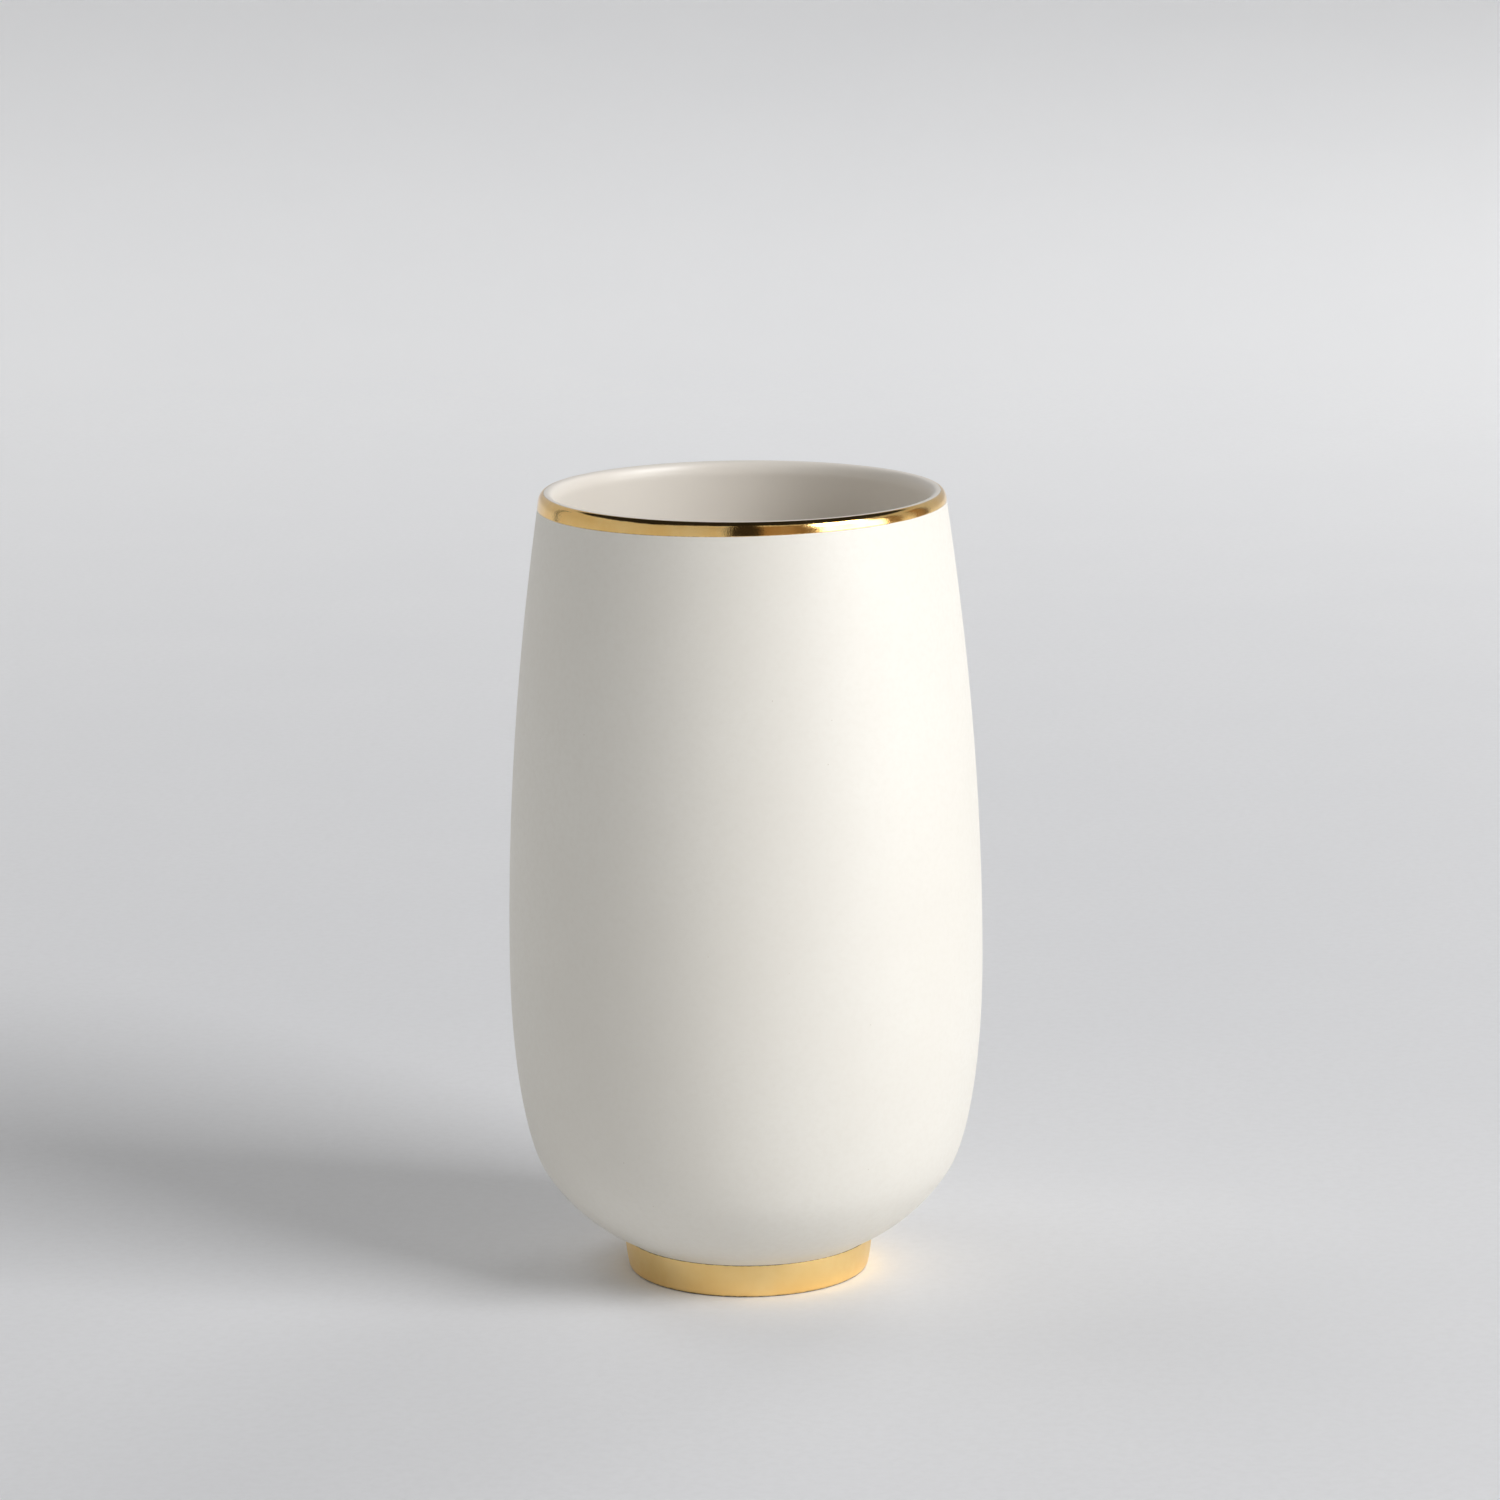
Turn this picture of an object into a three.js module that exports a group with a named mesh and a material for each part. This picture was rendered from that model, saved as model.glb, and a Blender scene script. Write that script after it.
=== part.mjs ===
// A wide-mouthed porcelain vase that stands on a low foot ring, with a gilded rim and a gilded foot.
// Millimetres, +Z up. The origin is the centre of the foot ring's bearing face.
// Every solid is turned round Z from an outline of (radius, height) points:
//   porcelain_body   the wall and floor, bare porcelain outside
//   foot_ring        the ring luted under the body, round a low centring boss
//   interior_glaze   the glaze fired on inside, carried over the lip
//   rim_gilding      the gold band fired on over the lip's outer edge
//   foot_gilding     the gold band fired on round the foot ring
import * as THREE from "three";

// Driving dimensions
const HEIGHT = 318;
const BELLY_RADIUS = 95.1;
const BELLY_HEIGHT = 128.5;
const HEEL_RADIUS = 82.2; // where the underside turns up into the wall
const HEEL_HEIGHT = 42.4;
const MOUTH_RADIUS = 80.9; // outside, where the lip starts to round over
const LIP_ROUNDING = 4; // height of the rounded part of the lip
const LIP_CREST_RADIUS = 77.9;
const WALL = 6.3; // porcelain and glaze together
const FLOOR_HEIGHT = 21; // glazed floor inside
const FLOOR_RADIUS = 36; // the flat part of that floor
const FOOT_HEIGHT = 14.1;
const FOOT_TOP_RADIUS = 50.2;
const FOOT_BOTTOM_RADIUS = 48.7;
const FOOT_BORE_RADIUS = 41.6;
const FOOT_EDGE = 2; // height of the rounded bottom edges of the ring
const BEARING_INNER_RADIUS = 44; // the flat, unglazed face that the vase stands on
const BEARING_OUTER_RADIUS = 47.2;
const BOSS_DROP = 1; // the boss under the body that centres the foot ring
const BOSS_CLEARANCE = 0.4;

// Fired layers, and the seam kept between one solid and the next
const GLAZE = 0.4;
const GILDING = 0.15;
const SEAM = 0.05;
const RIM_BAND_BOTTOM = 312.7;
const RIM_BAND_INNER_RADIUS = 78.6;
const FOOT_BAND_BOTTOM = 1;

const SEGMENTS = 60; // round the axis

const point = (radius, height) => new THREE.Vector2(radius, height);
const curve = (...points) => new THREE.CubicBezierCurve(...points);

// Outer outline, from the foot up to the lip's crest
const underside = curve(
  point(FOOT_TOP_RADIUS, FOOT_HEIGHT),
  point(52.7, 15.7),
  point(69.5, 22.5),
  point(HEEL_RADIUS, HEEL_HEIGHT),
);
const heel = curve(
  point(HEEL_RADIUS, HEEL_HEIGHT),
  point(89.6, 53.9),
  point(BELLY_RADIUS, 86.6),
  point(BELLY_RADIUS, BELLY_HEIGHT),
);
const wall = curve(
  point(BELLY_RADIUS, BELLY_HEIGHT),
  point(BELLY_RADIUS, 221.7),
  point(83.5, 294.1),
  point(MOUTH_RADIUS, HEIGHT - LIP_ROUNDING),
);
const lipOutside = curve(
  point(MOUTH_RADIUS, HEIGHT - LIP_ROUNDING),
  point(80.6, 316.6),
  point(79.6, HEIGHT),
  point(LIP_CREST_RADIUS, HEIGHT),
);

// Samples of a surface: where each one is, and which way the outline runs there.
// The material lies on the left of the run, so the outward normal is on its right.
function samples(path, steps) {
  return path.getPoints(steps).map((at, i) => ({ at, along: path.getTangent(i / steps) }));
}

// One run of samples from several, without the point that two neighbours share
function joined(...runs) {
  return runs.flat().filter((here, i, all) => i === 0 || here.at.distanceTo(all[i - 1].at) > 0.01);
}

// The points at a given depth below a sampled surface
function sunk(surface, depth) {
  return surface.map(({ at, along }) => point(at.x - along.y * depth, at.y + along.x * depth));
}

// The inner face of a wall of this thickness, run the other way
function innerFace(surface, thickness) {
  const points = sunk(surface, thickness);
  return surface.map(({ along }, i) => ({ at: points[i], along: along.clone().negate() })).reverse();
}

const bodyOutside = joined(samples(underside, 5), samples(heel, 4), samples(wall, 6));
const overLip = samples(lipOutside, 4);

// Inner outline, from the crest down the wall and across the floor to the axis
const innerWall = innerFace(joined(samples(heel, 4), samples(wall, 6)), WALL);
const wallTop = innerWall[0];
const wallFoot = innerWall.at(-1);
const lipInside = curve(
  point(LIP_CREST_RADIUS, HEIGHT),
  point(75.9, HEIGHT),
  point(74.8, 317.4),
  wallTop.at,
);
const bowl = curve(
  wallFoot.at,
  wallFoot.at.clone().addScaledVector(wallFoot.along, 14),
  point(56, FLOOR_HEIGHT),
  point(FLOOR_RADIUS, FLOOR_HEIGHT),
);
const floorCentre = { at: point(0, FLOOR_HEIGHT), along: point(-1, 0) };
const inside = joined(samples(lipInside, 4), innerWall, samples(bowl, 4), [floorCentre]);

// Outer face of the foot ring, from its bearing face up to the body
const footOuterEdge = curve(
  point(BEARING_OUTER_RADIUS, 0),
  point(48.1, 0),
  point(48.5, 1),
  point(FOOT_BOTTOM_RADIUS, FOOT_EDGE),
);
const footSide = curve(
  point(FOOT_BOTTOM_RADIUS, FOOT_EDGE),
  point(49.4, 5.5),
  point(50, 9.5),
  point(FOOT_TOP_RADIUS, FOOT_HEIGHT - 2 * SEAM),
);
const footOutside = joined(samples(footOuterEdge, 3), samples(footSide, 4));
const footInnerEdge = new THREE.QuadraticBezierCurve(
  point(42.8, FOOT_EDGE),
  point(43, 0),
  point(BEARING_INNER_RADIUS, 0),
);

// Turns an outline round Z. A ring's outline ends where it starts; a solid one's ends on the axis.
function turned(name, outline, material) {
  const geometry = new THREE.LatheGeometry(outline, SEGMENTS);
  geometry.rotateX(Math.PI / 2);
  const mesh = new THREE.Mesh(geometry, material);
  mesh.name = name;
  return mesh;
}

// The closed outline of a thin layer, between two depths of one surface
function layer(surface, top, bottom) {
  const exposed = sunk(surface, top);
  return [...exposed, ...sunk(surface, bottom).reverse(), exposed[0].clone()];
}

const porcelain = new THREE.MeshStandardMaterial({ color: 0xeeece5, roughness: 0.6, metalness: 0 });
const glazed = new THREE.MeshStandardMaterial({ color: 0xe9e5dc, roughness: 0.12, metalness: 0 });
const polishedGold = new THREE.MeshStandardMaterial({ color: 0xd2a866, roughness: 0.15, metalness: 1 });
const satinGold = new THREE.MeshStandardMaterial({ color: 0xcfa560, roughness: 0.35, metalness: 1 });

function porcelainBody() {
  const underGlaze = GLAZE + SEAM;
  const bossRadius = FOOT_BORE_RADIUS - BOSS_CLEARANCE;
  const boss = [
    point(0, FOOT_HEIGHT - BOSS_DROP),
    point(bossRadius, FOOT_HEIGHT - BOSS_DROP),
    point(bossRadius, FOOT_HEIGHT),
  ];
  const glazedFace = joined(overLip, inside);
  return turned(
    "porcelain_body",
    [...boss, ...sunk(bodyOutside, 0), ...sunk(glazedFace, underGlaze)],
    porcelain,
  );
}

function footRing() {
  const gilded = ({ at }) => at.y > FOOT_BAND_BOTTOM;
  const bare = footOutside.filter((here) => !gilded(here));
  const underBand = sunk(footOutside.filter(gilded), GILDING + SEAM);
  const outline = [
    point(BEARING_INNER_RADIUS, 0),
    ...sunk(bare, 0),
    ...underBand,
    point(FOOT_BORE_RADIUS, underBand.at(-1).y),
    ...footInnerEdge.getPoints(3),
  ];
  return turned("foot_ring", outline, porcelain);
}

function interiorGlaze() {
  return turned("interior_glaze", layer(joined(overLip, inside), 0, GLAZE), glazed);
}

function rimGilding() {
  const { at, along } = overLip[0];
  const bandWidth = (at.y - RIM_BAND_BOTTOM) / along.y;
  const bandBottom = { at: at.clone().addScaledVector(along, -bandWidth), along };
  const band = [bandBottom, ...overLip.filter((here) => here.at.x > RIM_BAND_INNER_RADIUS)];
  return turned("rim_gilding", layer(band, -SEAM - GILDING, -SEAM), polishedGold);
}

function footGilding() {
  const band = footOutside.filter(({ at }) => at.y > FOOT_BAND_BOTTOM);
  return turned("foot_gilding", layer(band, 0, GILDING), satinGold);
}

const vase = new THREE.Group();
vase.name = "porcelain_vase";
vase.add(porcelainBody(), footRing(), interiorGlaze(), rimGilding(), footGilding());

export default vase;
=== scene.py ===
"""Fine meshes, materials and a studio for a gilt-rimmed porcelain vase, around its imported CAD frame.

Metres, +Z up, origin under the middle of the foot ring. Outlines are (radius, height) points.
"""

import math

import bpy
import numpy as np
from mathutils import Matrix, Vector


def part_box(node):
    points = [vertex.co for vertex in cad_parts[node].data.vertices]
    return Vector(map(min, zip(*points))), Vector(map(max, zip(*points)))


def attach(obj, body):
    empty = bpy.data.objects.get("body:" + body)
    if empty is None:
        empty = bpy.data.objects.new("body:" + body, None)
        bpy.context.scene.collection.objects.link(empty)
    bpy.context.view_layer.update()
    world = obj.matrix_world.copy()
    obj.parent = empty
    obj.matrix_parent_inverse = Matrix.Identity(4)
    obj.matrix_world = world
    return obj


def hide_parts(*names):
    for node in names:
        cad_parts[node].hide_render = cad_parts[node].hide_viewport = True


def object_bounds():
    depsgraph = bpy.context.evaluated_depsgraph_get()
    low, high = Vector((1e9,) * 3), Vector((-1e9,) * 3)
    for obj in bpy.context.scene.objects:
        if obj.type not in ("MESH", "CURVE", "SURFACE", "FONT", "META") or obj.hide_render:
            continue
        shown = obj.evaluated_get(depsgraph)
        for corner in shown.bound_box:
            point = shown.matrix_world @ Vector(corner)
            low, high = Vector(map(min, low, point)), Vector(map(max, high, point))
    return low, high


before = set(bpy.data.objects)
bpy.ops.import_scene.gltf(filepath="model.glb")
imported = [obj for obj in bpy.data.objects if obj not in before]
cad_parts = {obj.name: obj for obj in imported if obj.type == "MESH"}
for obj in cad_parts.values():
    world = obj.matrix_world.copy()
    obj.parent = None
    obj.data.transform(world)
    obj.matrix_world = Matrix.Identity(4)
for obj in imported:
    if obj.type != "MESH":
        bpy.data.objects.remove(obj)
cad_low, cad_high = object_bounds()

MM = 0.001

# ---------------------------------------------------------------- sizes, from the frame

HEIGHT = cad_high.z
BELLY_RADIUS = cad_high.x
FOOT_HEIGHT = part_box("foot_gilding")[1].z
FOOT_TOP_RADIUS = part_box("foot_gilding")[1].x
BOSS_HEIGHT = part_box("porcelain_body")[0].z  # underside of the body, inside the foot ring
RIM_BAND_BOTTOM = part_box("rim_gilding")[0].z

# ---------------------------------------------------------------- the outline, as in the CAD source

BELLY_HEIGHT = 128.5 * MM
HEEL = (82.2 * MM, 42.4 * MM)  # where the underside turns up into the wall
MOUTH_RADIUS = 80.9 * MM
LIP_START = HEIGHT - 4 * MM
LIP_CREST_RADIUS = 77.9 * MM
WALL = 6.3 * MM
FLOOR_HEIGHT = 21 * MM
FLOOR_RADIUS = 36 * MM
FOOT_EDGE = 2 * MM
FOOT_BOTTOM_RADIUS = 48.7 * MM
FOOT_BORE_RADIUS = 41.6 * MM
BEARING_INNER_RADIUS = 44 * MM
BEARING_OUTER_RADIUS = 47.2 * MM
BOSS_GAP = 0.4 * MM  # between the body's boss and the foot ring's bore
BROKEN_EDGE = 0.6 * MM  # bevel on the boss
BORE_TAPER = 0.6 * MM  # how much wider the foot ring's bore is halfway down

# ---------------------------------------------------------------- layers fired on the porcelain

GLAZE = 0.25 * MM
GOLD = 0.06 * MM  # height of a gold band above the surface that it is fired on
SUNK = 0.02 * MM  # how far a layer's hidden face lies under that surface
FRINGE = 0.45 * MM  # width of the brown edge where gold was brushed thin
FOOT_FRINGE_AND_SHADOW = 1.3 * MM  # the same along the bottom of the foot, widened so that its dark edge also paints the contact shadow under the foot's rounded edge
RIM_LEAN = 0.014 * MOUTH_RADIUS  # the rim band's lower edge runs this much out of level
RIM_MARGIN = 0.6 * MM  # bare glaze between the rim band and the crest of the lip
FOOT_BOTTOM_MARGIN = 0.3 * MM  # bare porcelain between the bearing face and the foot band
FOOT_TOP_MARGIN = 0.12 * MM  # the same between the foot band and the body

SEGMENTS = 288  # round the axis
BAND_POINTS = 25  # across the face of a gold band
SHARP_ANGLE = math.radians(35)


# ---------------------------------------------------------------- outlines

def bezier(start, handle_a, handle_b, end, steps):
    t = np.linspace(0, 1, steps + 1)[:, None]
    points = [np.array(p, float) for p in (start, handle_a, handle_b, end)]
    weights = ((1 - t) ** 3, 3 * (1 - t) ** 2 * t, 3 * (1 - t) * t**2, t**3)
    return sum(weight * at for weight, at in zip(weights, points))


def joined(*runs):
    """One outline from several, without the point that two neighbours share."""
    return np.vstack([runs[0]] + [run[1:] for run in runs[1:]])


def normals(outline):
    """The unit normal on the right of the outline at each point, which is outside the material."""
    along = np.gradient(outline, axis=0)
    along /= np.linalg.norm(along, axis=1)[:, None]
    return np.stack([along[:, 1], -along[:, 0]], axis=1)


def sunk(outline, depth):
    return outline - normals(outline) * depth


def lengths(outline):
    """How far along the outline each of its points lies."""
    steps = np.linalg.norm(np.diff(outline, axis=0), axis=1)
    return np.concatenate([[0], np.cumsum(steps)])


underside = bezier(
    (FOOT_TOP_RADIUS, FOOT_HEIGHT), (52.7 * MM, 15.7 * MM), (69.5 * MM, 22.5 * MM), HEEL, 24
)
heel = bezier(
    HEEL, (89.6 * MM, 53.9 * MM), (BELLY_RADIUS, 86.6 * MM), (BELLY_RADIUS, BELLY_HEIGHT), 24
)
wall = bezier(
    (BELLY_RADIUS, BELLY_HEIGHT), (BELLY_RADIUS, 221.7 * MM), (83.5 * MM, 294.1 * MM),
    (MOUTH_RADIUS, LIP_START), 48,
)
lip_outside = bezier(
    (MOUTH_RADIUS, LIP_START), (80.6 * MM, HEIGHT - 1.4 * MM), (79.6 * MM, HEIGHT),
    (LIP_CREST_RADIUS, HEIGHT), 16,
)
inner_wall = sunk(joined(heel, wall), WALL)[::-1]
lip_inside = bezier(
    (LIP_CREST_RADIUS, HEIGHT), (75.9 * MM, HEIGHT), (74.8 * MM, HEIGHT - 0.6 * MM), inner_wall[0], 16
)
into_bowl = (inner_wall[-1] - inner_wall[-2]) / np.linalg.norm(inner_wall[-1] - inner_wall[-2])
bowl = bezier(
    inner_wall[-1], inner_wall[-1] + into_bowl * 14 * MM, (56 * MM, FLOOR_HEIGHT),
    (FLOOR_RADIUS, FLOOR_HEIGHT), 20,
)
floor = np.linspace((FLOOR_RADIUS, FLOOR_HEIGHT), (0, FLOOR_HEIGHT), 9)
inside = joined(lip_inside, inner_wall, bowl, floor)

foot_outer_edge = bezier(
    (BEARING_OUTER_RADIUS, 0), (48.1 * MM, 0), (48.5 * MM, 1 * MM), (FOOT_BOTTOM_RADIUS, FOOT_EDGE), 10
)
foot_side = bezier(
    (FOOT_BOTTOM_RADIUS, FOOT_EDGE), (49.4 * MM, 5.5 * MM), (50 * MM, 9.5 * MM),
    (FOOT_TOP_RADIUS, FOOT_HEIGHT), 16,
)
foot_outside = joined(foot_outer_edge, foot_side)
foot_inner_edge = bezier(
    (42.8 * MM, FOOT_EDGE), (42.95 * MM, 0.7 * MM), (43.3 * MM, 0), (BEARING_INNER_RADIUS, 0), 8
)


# ---------------------------------------------------------------- meshes

def ring_points(outline):
    """The outline turned round Z: one row of points for each segment."""
    angle = np.linspace(0, 2 * math.pi, SEGMENTS, endpoint=False)[:, None]
    radius, height = outline[:, 0], outline[:, 1]
    return np.stack(
        [np.cos(angle) * radius, np.sin(angle) * radius, np.ones_like(angle) * height], axis=2
    )


def skin(name, rows, closed):
    """A mesh from rows of points round Z. A closed outline joins its last point to its first.

    An open one starts and ends on the axis, where each end is a single point with a fan of triangles."""
    count = rows.shape[1]
    loops = range(count) if closed else range(1, count - 1)
    index = {}
    vertices = []
    for j in loops:
        for i in range(SEGMENTS):
            index[i, j] = len(vertices)
            vertices.append(rows[i, j])
    faces = []
    pairs = [(j, (j + 1) % count) for j in loops if closed or j < count - 2]
    for a, b in pairs:
        for i in range(SEGMENTS):
            k = (i + 1) % SEGMENTS
            faces.append((index[i, a], index[k, a], index[k, b], index[i, b]))
    if not closed:
        for end, ring, turn in ((0, 1, 1), (count - 1, count - 2, -1)):
            centre = len(vertices)
            vertices.append(rows[0, end])
            for i in range(SEGMENTS):
                k = (i + 1) % SEGMENTS
                faces.append((centre, index[k, ring], index[i, ring])[::turn])
    mesh = bpy.data.meshes.new(name)
    mesh.from_pydata([tuple(v) for v in vertices], [], faces)
    mesh.polygons.foreach_set("use_smooth", [True] * len(mesh.polygons))
    mesh.set_sharp_from_angle(angle=SHARP_ANGLE)
    mesh.update()
    piece = bpy.data.objects.new(name, mesh)
    bpy.context.scene.collection.objects.link(piece)
    return piece


def turned(name, outline, closed):
    return skin(name, ring_points(outline), closed)


def wander(angle, seed, terms):
    """A smooth closed wobble of about unit size: a few waves round the axis with fixed random phases."""
    draw = np.random.default_rng(seed)
    total = sum(
        np.cos(n * angle + draw.uniform(0, 2 * math.pi)) * draw.uniform(0.4, 1) / n**0.6 for n in terms
    )
    return total / len(terms) ** 0.5


def gold_band(name, surface, first, last, fringe_and_shadow=FRINGE):
    """A raised layer on a surface, from arc length first to last, which may differ at each segment.

    Its edges taper down and dip under the surface, as fired gold lustre does. The attribute
    "thin_gold_and_shadow" is 1 there and fades to 0 within FRINGE of its edges, or within
    fringe_and_shadow of the first one, which on the foot band also paints the contact shadow under the
    foot."""
    length = lengths(surface)
    facing = normals(surface)
    across = 0.5 - 0.5 * np.cos(np.linspace(0, math.pi, BAND_POINTS))
    raised = GOLD * np.minimum(1, np.sin(math.pi * across) * 6) ** 0.5
    raised[[0, -1]] = -SUNK
    angle = np.linspace(0, 2 * math.pi, SEGMENTS, endpoint=False)
    rows = []
    thin_gold_and_shadow = []
    for turn, start, end in zip(angle, first, last):
        at = start + (end - start) * across
        from_edge = np.minimum((at - start) / fringe_and_shadow, (end - at) / FRINGE)
        fade = np.clip(1 - from_edge, 0, 1)
        thin_gold_and_shadow.append(np.concatenate([fade, fade[::-1]]))
        point = np.stack([np.interp(at, length, surface[:, i]) for i in (0, 1)], axis=1)
        out = np.stack([np.interp(at, length, facing[:, i]) for i in (0, 1)], axis=1)
        front = point + out * raised[:, None]
        back = (point - out * SUNK * 2)[::-1]
        outline = np.vstack([front, back])
        radius, height = outline[:, 0], outline[:, 1]
        rows.append(np.stack([math.cos(turn) * radius, math.sin(turn) * radius, height], axis=1))
    piece = skin(name, np.array(rows), closed=True)
    attribute = piece.data.attributes.new("thin_gold_and_shadow", "FLOAT", "POINT")
    attribute.data.foreach_set("value", np.array(thin_gold_and_shadow).T.ravel())
    return piece


def make_body():
    under_glaze = joined(lip_outside, inside)
    hidden = sunk(under_glaze, GLAZE)
    hidden[-1, 0] = 0
    boss_radius = FOOT_BORE_RADIUS - BOSS_GAP
    base = np.array([
        (0, BOSS_HEIGHT), (boss_radius * 0.5, BOSS_HEIGHT), (boss_radius - BROKEN_EDGE, BOSS_HEIGHT),
        (boss_radius, BOSS_HEIGHT + BROKEN_EDGE), (boss_radius, FOOT_HEIGHT),
    ])
    outline = np.vstack([base, joined(underside, heel, wall), hidden])
    return turned("body", outline, closed=False)


def make_foot_ring():
    outline = np.vstack([
        np.linspace((BEARING_INNER_RADIUS, 0), (BEARING_OUTER_RADIUS, 0), 5),
        foot_outside[1:],
        np.array([(FOOT_BORE_RADIUS, FOOT_HEIGHT), (FOOT_BORE_RADIUS + BORE_TAPER, FOOT_HEIGHT / 2)]),
        foot_inner_edge[:-1],
    ])
    return turned("foot", outline, closed=True)


def make_glaze():
    exposed = joined(lip_outside, inside)
    hidden = sunk(exposed, GLAZE - SUNK)
    hidden[-1, 0] = 0
    # Both faces end on the axis, so the glaze is one closed outline with its middle on it.
    outline = np.vstack([hidden[::-1], exposed])
    return turned("glaze", outline, closed=False)


def make_rim_gold():
    angle = np.linspace(0, 2 * math.pi, SEGMENTS, endpoint=False)
    up_to_crest = joined(wall[-12:], lip_outside)
    low = np.interp(RIM_BAND_BOTTOM, up_to_crest[:, 1], lengths(up_to_crest))
    first = low + RIM_LEAN * np.cos(angle) + 0.11 * MM * wander(angle, 3, (2, 3, 5, 8, 13))
    crest = lengths(up_to_crest)[-1]
    last = crest - RIM_MARGIN + 0.1 * MM * wander(angle, 5, (2, 4, 7, 11))
    return gold_band("rim_gold", joined(up_to_crest, lip_inside), first, last)


def make_foot_gold():
    angle = np.linspace(0, 2 * math.pi, SEGMENTS, endpoint=False)
    top = lengths(foot_outside)[-1]
    first = FOOT_BOTTOM_MARGIN + 0.08 * MM * wander(angle, 7, (2, 3, 5, 9))
    last = top - FOOT_TOP_MARGIN + 0.05 * MM * wander(angle, 9, (2, 3, 6, 8))
    # The band's bottom edge is darkened over FOOT_FRINGE_AND_SHADOW: thin gold there, and a painted
    # contact shadow along the floor.
    return gold_band("foot_gold", foot_outside, first, last, FOOT_FRINGE_AND_SHADOW)


# ---------------------------------------------------------------- materials

class Shader:
    """One material's node tree. An input given to add() is a plain value or another node's output.

    Texture scales count cells per metre."""

    def __init__(self, name):
        self.material = bpy.data.materials.new(name)
        self.material.use_nodes = True
        self.tree = self.material.node_tree
        self.surface = self.tree.nodes["Principled BSDF"]
        self.place = self.add("ShaderNodeTexCoord").outputs["Object"]

    def add(self, kind, settings=(), inputs=()):
        node = self.tree.nodes.new(kind)
        for key, value in dict(settings).items():
            setattr(node, key, value)
        self.fill(node, inputs)
        return node

    def fill(self, node, inputs):
        for key, value in dict(inputs).items():
            if isinstance(value, bpy.types.NodeSocket):
                self.tree.links.new(value, node.inputs[key])
            else:
                node.inputs[key].default_value = value

    def noise(self, scale, detail=2.0, roughness=0.5, place=None):
        return self.add("ShaderNodeTexNoise", inputs={
            "Vector": place or self.place, "Scale": scale, "Detail": detail, "Roughness": roughness,
        }).outputs["Fac"]

    def cells(self, scale):
        """The distance to the middle of the nearest Voronoi cell."""
        return self.add("ShaderNodeTexVoronoi", inputs={
            "Vector": self.place, "Scale": scale,
        }).outputs["Distance"]

    def attribute(self, name):
        return self.add("ShaderNodeAttribute", {"attribute_name": name}).outputs["Fac"]

    def stretched(self, x, y, z):
        return self.add("ShaderNodeMapping", inputs={
            "Vector": self.place, "Scale": (x, y, z),
        }).outputs[0]

    def remap(self, value, low, high, to_low, to_high):
        return self.add("ShaderNodeMapRange", {"clamp": True, "interpolation_type": "SMOOTHSTEP"}, {
            "Value": value, "From Min": low, "From Max": high, "To Min": to_low, "To Max": to_high,
        }).outputs[0]

    def maths(self, operation, a, b):
        return self.add("ShaderNodeMath", {"operation": operation}, {0: a, 1: b}).outputs[0]

    def mix(self, share, a, b):
        return self.add("ShaderNodeMix", {"data_type": "RGBA"}, {0: share, 6: a, 7: b}).outputs[2]

    def bump(self, height, distance, strength=1.0, below=None):
        inputs = {"Height": height, "Distance": distance, "Strength": strength}
        if below is not None:
            inputs["Normal"] = below
        return self.add("ShaderNodeBump", inputs=inputs).outputs[0]

    def finish(self, **inputs):
        self.fill(self.surface, {key.replace("_", " "): value for key, value in inputs.items()})
        return self.material


def bare_porcelain():
    s = Shader("bare_porcelain")
    cloud = s.noise(9, 3, 0.55)
    mottle = s.noise(420, 2, 0.6)
    tone = s.mix(s.remap(cloud, 0.3, 0.7, 0, 1), (0.806, 0.772, 0.697, 1), (0.83, 0.802, 0.73, 1))
    tone = s.mix(s.remap(mottle, 0.35, 0.75, 0, 0.35), tone, (0.782, 0.745, 0.667, 1))
    specks = s.remap(s.cells(70), 0.012, 0.02, 0.5, 0)
    tone = s.mix(specks, tone, (0.45, 0.38, 0.28, 1))
    height = s.add("ShaderNodeSeparateXYZ", inputs={0: s.place}).outputs[2]
    # The lowest half millimetre, where the foot ring meets the floor, is darkened: rubbed grime, and
    # painted contact shade.
    bearing_face = s.remap(height, 0, 0.5 * MM, 1, 0)
    grime_and_contact_shade = s.maths("MULTIPLY", bearing_face, s.remap(s.noise(160, 4), 0.35, 0.7, 0.25, 0.9))
    tone = s.mix(grime_and_contact_shade, tone, (0.6, 0.55, 0.47, 1))
    rings = s.noise(1, 2, 0.5, place=s.stretched(3, 3, 260))
    grain = s.noise(2300, 2, 0.6)
    relief = s.bump(rings, 0.06 * MM, 0.5)
    relief = s.bump(grain, 0.03 * MM, 0.6, relief)
    rough = s.remap(mottle, 0.3, 0.7, 0.5, 0.6)
    return s.finish(Base_Color=tone, Roughness=rough, Normal=relief)


def clear_glaze():
    s = Shader("clear_glaze")
    pooled = s.noise(14, 3, 0.5)
    tone = s.mix(s.remap(pooled, 0.25, 0.75, 0, 1), (0.84, 0.785, 0.705, 1), (0.865, 0.815, 0.735, 1))
    waves = s.noise(45, 2, 0.4)
    relief = s.bump(waves, 0.05 * MM, 0.2)
    pits = s.remap(s.cells(60), 0, 0.02, 0, 1)
    relief = s.bump(pits, 0.03 * MM, 0.3, relief)
    rough = s.remap(s.noise(25, 2), 0.25, 0.75, 0.34, 0.4)
    return s.finish(Base_Color=tone, Roughness=rough, Normal=relief)


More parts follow.
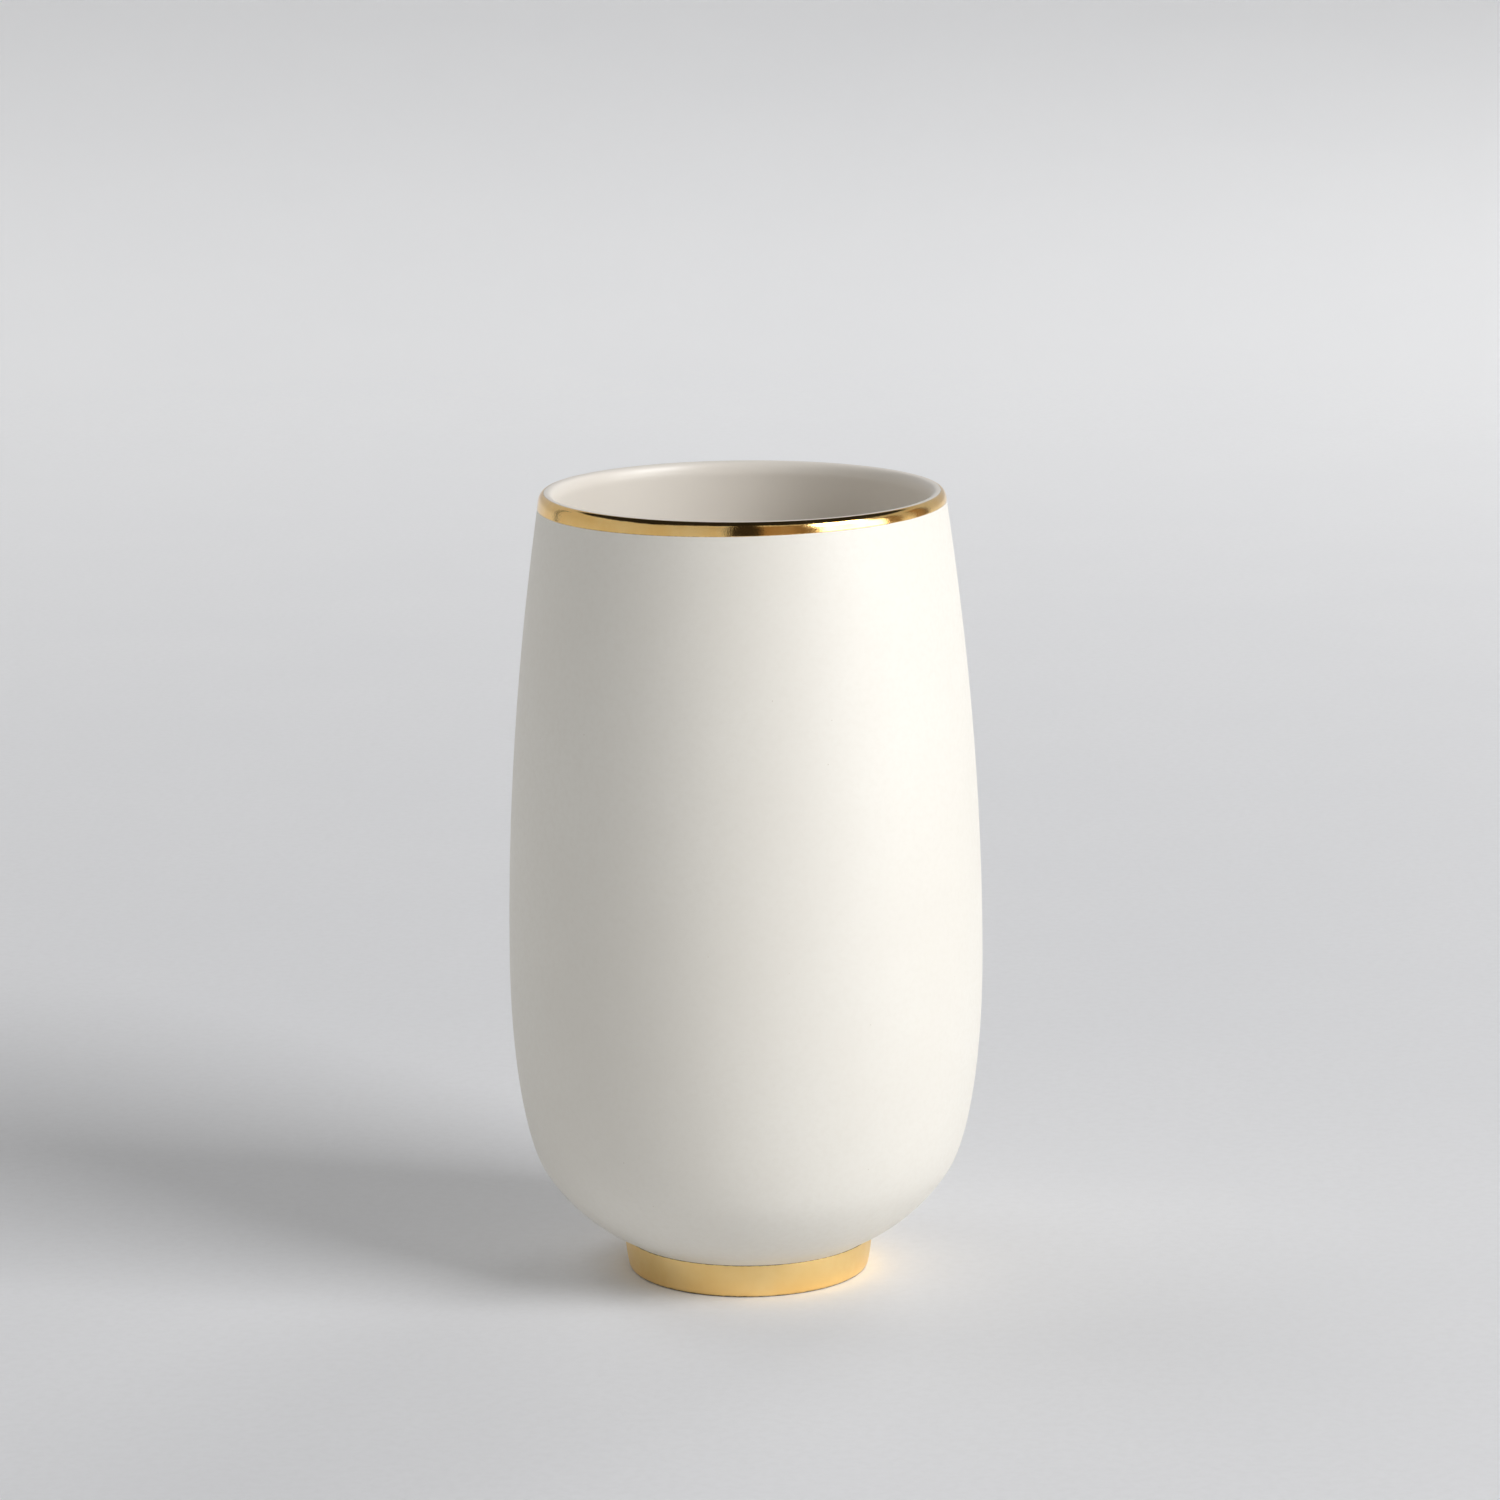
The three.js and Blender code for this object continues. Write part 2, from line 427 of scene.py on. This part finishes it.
def polished_gold():
    s = Shader("polished_gold")
    cloud = s.noise(80, 3, 0.6)
    tone = s.mix(s.remap(cloud, 0.3, 0.7, 0, 1), (0.93, 0.585, 0.195, 1), (0.97, 0.66, 0.26, 1))
    ragged = s.maths("MULTIPLY", s.attribute("thin_gold_and_shadow"), s.remap(s.noise(700, 3, 0.6), 0.3, 0.7, 0.6, 1.3))
    fringe_and_shadow = s.remap(ragged, 0.35, 0.9, 0, 0.8)
    tone = s.mix(fringe_and_shadow, tone, (0.34, 0.19, 0.09, 1))
    grain = s.noise(1300, 3, 0.65)
    strokes = s.noise(1, 3, 0.6, place=s.stretched(130, 130, 1500))
    relief = s.bump(strokes, 0.05 * MM, 0.6)
    relief = s.bump(grain, 0.035 * MM, 0.7, relief)
    rough = s.remap(cloud, 0.3, 0.7, 0.08, 0.14)
    return s.finish(Base_Color=tone, Metallic=1.0, Roughness=rough, Normal=relief)


def satin_gold():
    s = Shader("satin_gold")
    cloud = s.noise(40, 2, 0.5)
    tone = s.mix(s.remap(cloud, 0.2, 0.8, 0, 1), (0.93, 0.65, 0.26, 1), (0.97, 0.72, 0.33, 1))
    mottle = s.noise(240, 2, 0.5)
    tone = s.mix(s.remap(mottle, 0.3, 0.8, 0, 0.14), tone, (0.84, 0.54, 0.2, 1))
    # Near-black edge: darker where the gold thins, and along the bottom a painted contact shadow under
    # the foot's rounded edge.
    ragged = s.maths("MULTIPLY", s.attribute("thin_gold_and_shadow"), s.remap(s.noise(500, 2, 0.5), 0.3, 0.7, 0.7, 1.3))
    fringe_and_shadow = s.remap(ragged, 0.2, 0.65, 0, 0.95)
    tone = s.mix(fringe_and_shadow, tone, (0.12, 0.065, 0.03, 1))
    relief = s.bump(s.noise(900, 2, 0.5), 0.02 * MM, 0.3)
    rough = s.remap(mottle, 0.25, 0.75, 0.33, 0.39)
    return s.finish(Base_Color=tone, Metallic=1.0, Roughness=rough, Normal=relief)


def backdrop_paper():
    """Pale paper, lit evenly by its own lamps where it is far from the vase."""
    s = Shader("backdrop_paper")
    cloud = s.remap(s.noise(6, 3), 0.3, 0.7, 0, 1)
    tone = s.mix(cloud, (0.83, 0.832, 0.84, 1), (0.818, 0.821, 0.831, 1))
    fibre = s.remap(s.noise(240, 4, 0.65), 0.35, 0.7, 0, 0.5)
    tone = s.mix(fibre, tone, (0.785, 0.785, 0.79, 1))
    distance = s.add("ShaderNodeVectorMath", {"operation": "LENGTH"}, {0: s.place}).outputs["Value"]
    glow = s.remap(distance, GLOW_START, GLOW_FULL, 0, GLOW)
    relief = s.bump(s.noise(500, 3, 0.6), 0.1 * MM, 0.3)
    return s.finish(Base_Color=tone, Roughness=0.9, Normal=relief, Emission_Strength=glow)


def card_paper(name, colour, glow):
    s = Shader(name)
    red, green, blue, alpha = colour
    shade = (red * 0.8, green * 0.8, blue * 0.8, alpha)
    tone = s.mix(s.remap(s.noise(3, 3), 0.3, 0.7, 0, 1), colour, shade)
    return s.finish(Base_Color=tone, Roughness=0.9, Emission_Color=colour, Emission_Strength=glow)


# ---------------------------------------------------------------- studio

CAMERA_DISTANCE = 2.101
CAMERA_HEIGHT = 0.648
CAMERA_DOWN = 11.698  # degrees below level
CAMERA_ROLL = -0.48
CAMERA_SIDE = 2.24 * MM
LENS = 128.9
SENSOR = 36

GLOW_START = 0.05  # metres from the vase
GLOW_FULL = 3.7
GLOW = 0.215

BOWL_FLOOR_RADIUS = 2.2
BOWL_RADIUS = 9.0
BOWL_HEIGHT = 7.0

AIM_HEIGHT = 0.15  # where on the vase's axis the lights point
AIR_STRENGTH = 0.02


def make_camera():
    data = bpy.data.cameras.new("camera")
    data.lens = LENS
    data.sensor_width = SENSOR
    data.clip_end = 40
    camera = bpy.data.objects.new("camera", data)
    bpy.context.scene.collection.objects.link(camera)
    look = Matrix.Rotation(math.radians(90 - CAMERA_DOWN), 4, "X")
    roll = Matrix.Rotation(math.radians(CAMERA_ROLL), 4, "Z")
    place = Matrix.Translation((CAMERA_SIDE, -CAMERA_DISTANCE, CAMERA_HEIGHT))
    camera.matrix_world = place @ look @ roll
    bpy.context.scene.camera = camera


def make_bowl():
    """A seamless studio: a round floor that sweeps up, very gently, into a wall on every side."""
    sweep = bezier((BOWL_FLOOR_RADIUS, 0), (6.4, 0), (BOWL_RADIUS, 2.6), (BOWL_RADIUS, BOWL_HEIGHT), 48)
    outline = joined(np.linspace((0, 0), (BOWL_FLOOR_RADIUS, 0), 6), sweep)
    rows = ring_points(outline)
    count = rows.shape[1]
    faces = []
    for i in range(SEGMENTS):
        k = (i + 1) % SEGMENTS
        for j in range(count - 1):
            faces.append((i * count + j, k * count + j, k * count + j + 1, i * count + j + 1))
    mesh = bpy.data.meshes.new("studio_bowl")
    mesh.from_pydata([tuple(v) for v in rows.reshape(-1, 3)], [], faces)
    mesh.polygons.foreach_set("use_smooth", [True] * len(mesh.polygons))
    mesh.materials.append(backdrop_paper())
    shell = bpy.data.objects.new("studio_bowl", mesh)
    bpy.context.scene.collection.objects.link(shell)


def around(azimuth, distance, height):
    """A place at an azimuth counted from the camera's side towards its right."""
    a = math.radians(azimuth)
    return Vector((math.sin(a) * distance, -math.cos(a) * distance, height))


def area_light(name, azimuth, distance, height, width, depth, power):
    """A rectangular light that faces the vase."""
    data = bpy.data.lights.new(name, "AREA")
    data.shape = "RECTANGLE"
    data.size = width
    data.size_y = depth
    data.energy = power
    light = bpy.data.objects.new(name, data)
    light.location = around(azimuth, distance, height)
    aim = Vector((0, 0, AIM_HEIGHT)) - light.location
    light.rotation_mode = "QUATERNION"
    light.rotation_quaternion = aim.to_track_quat("-Z", "Y")
    light.visible_camera = False
    bpy.context.scene.collection.objects.link(light)
    return light


def card(name, azimuth, distance, span, low, high, colour, glow):
    """An upright card, some degrees wide as the vase sees it, that only reflections show."""
    half = distance * math.tan(math.radians(span / 2))
    across = Vector((math.cos(math.radians(azimuth)), math.sin(math.radians(azimuth)), 0)) * half
    foot = around(azimuth, distance, low)
    up = Vector((0, 0, high - low))
    points = [foot - across, foot + across, foot + across + up, foot - across + up]
    mesh = bpy.data.meshes.new(name)
    mesh.from_pydata([tuple(p) for p in points], [], [(0, 1, 2, 3)])
    mesh.materials.append(card_paper(name, colour, glow))
    made = bpy.data.objects.new(name, mesh)
    bpy.context.scene.collection.objects.link(made)
    made.visible_camera = False
    made.visible_diffuse = False
    made.visible_shadow = False


BROWN = (0.30, 0.21, 0.13, 1)
DARK = (0.03, 0.022, 0.015, 1)
CARDS = (  # azimuth, distance, degrees wide, foot and top height, colour, glow
    ("front_panel", 0, 9, 100, 6.8, 12, (0.8, 0.8, 0.8, 1), 0.5),
    ("dark_card", 1.5, 2.7, 19, 0, 5.5, DARK, 0.0),
    ("brown_card", 20, 2.7, 18, 0, 2.6, BROWN, 0.42),
    ("deep_brown_card", 36.5, 2.7, 15, 0, 2.6, BROWN, 0.08),
    ("white_card", 65, 2.7, 42, 0, 1.3, (1, 0.99, 0.97, 1), 3.6),
    ("right_brown_card", 93, 2.7, 13, 0, 1.6, BROWN, 0.12),
    ("right_tan_card", 117, 2.7, 12, 0, 1.6, BROWN, 0.35),
    ("right_dark_strip", 124.5, 2.7, 3, 0, 1.6, DARK, 0.0),
    ("left_dark_strip", -125.5, 2.7, 3, 0, 1.6, DARK, 0.0),
)

KEY = ("key_softbox", 59.5, 4.3, 2.7, 2.7, 1.7, 188)  # azimuth, distance, height, width, depth, power
KEY_COLOUR = (0.985, 0.99, 1.01)
FILLS = (  # the same, and reflections don't show them
    ("fill_back_right", 150, 3.5, 2.15, 1.6, 1.6, 24),
    ("fill_back_left", -150, 3.5, 2.15, 1.6, 1.6, 9),
    ("fill_high_left", -120, 2.0, 3.6, 1.6, 1.6, 17),
    ("fill_low_left", -110, 3.0, 1.3, 1.2, 1.2, 2.7),
)


def make_lights():
    area_light(*KEY).data.color = KEY_COLOUR
    for row in FILLS:
        area_light(*row).visible_glossy = False
    for row in CARDS:
        card(*row)
    world = bpy.data.worlds.new("studio_air")
    world.use_nodes = True
    background = world.node_tree.nodes["Background"]
    background.inputs["Color"].default_value = (1, 1, 1, 1)
    background.inputs["Strength"].default_value = AIR_STRENGTH
    bpy.context.scene.world = world


# ---------------------------------------------------------------- assembly

make_camera()

porcelain = bare_porcelain()
PIECES = (
    (make_body, "porcelain_body", "bare_porcelain", porcelain),
    (make_foot_ring, "foot_ring", "bare_porcelain", porcelain),
    (make_glaze, "interior_glaze", "clear_glaze", clear_glaze()),
    (make_rim_gold, "rim_gilding", "polished_gold", polished_gold()),
    (make_foot_gold, "foot_gilding", "satin_gold", satin_gold()),
)
for make, node, slot, material in PIECES:
    piece = make()
    piece.data.materials.append(material)
    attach(piece, "root")
    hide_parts(node)

make_bowl()
make_lights()
bpy.context.scene.view_settings.view_transform = "Standard"
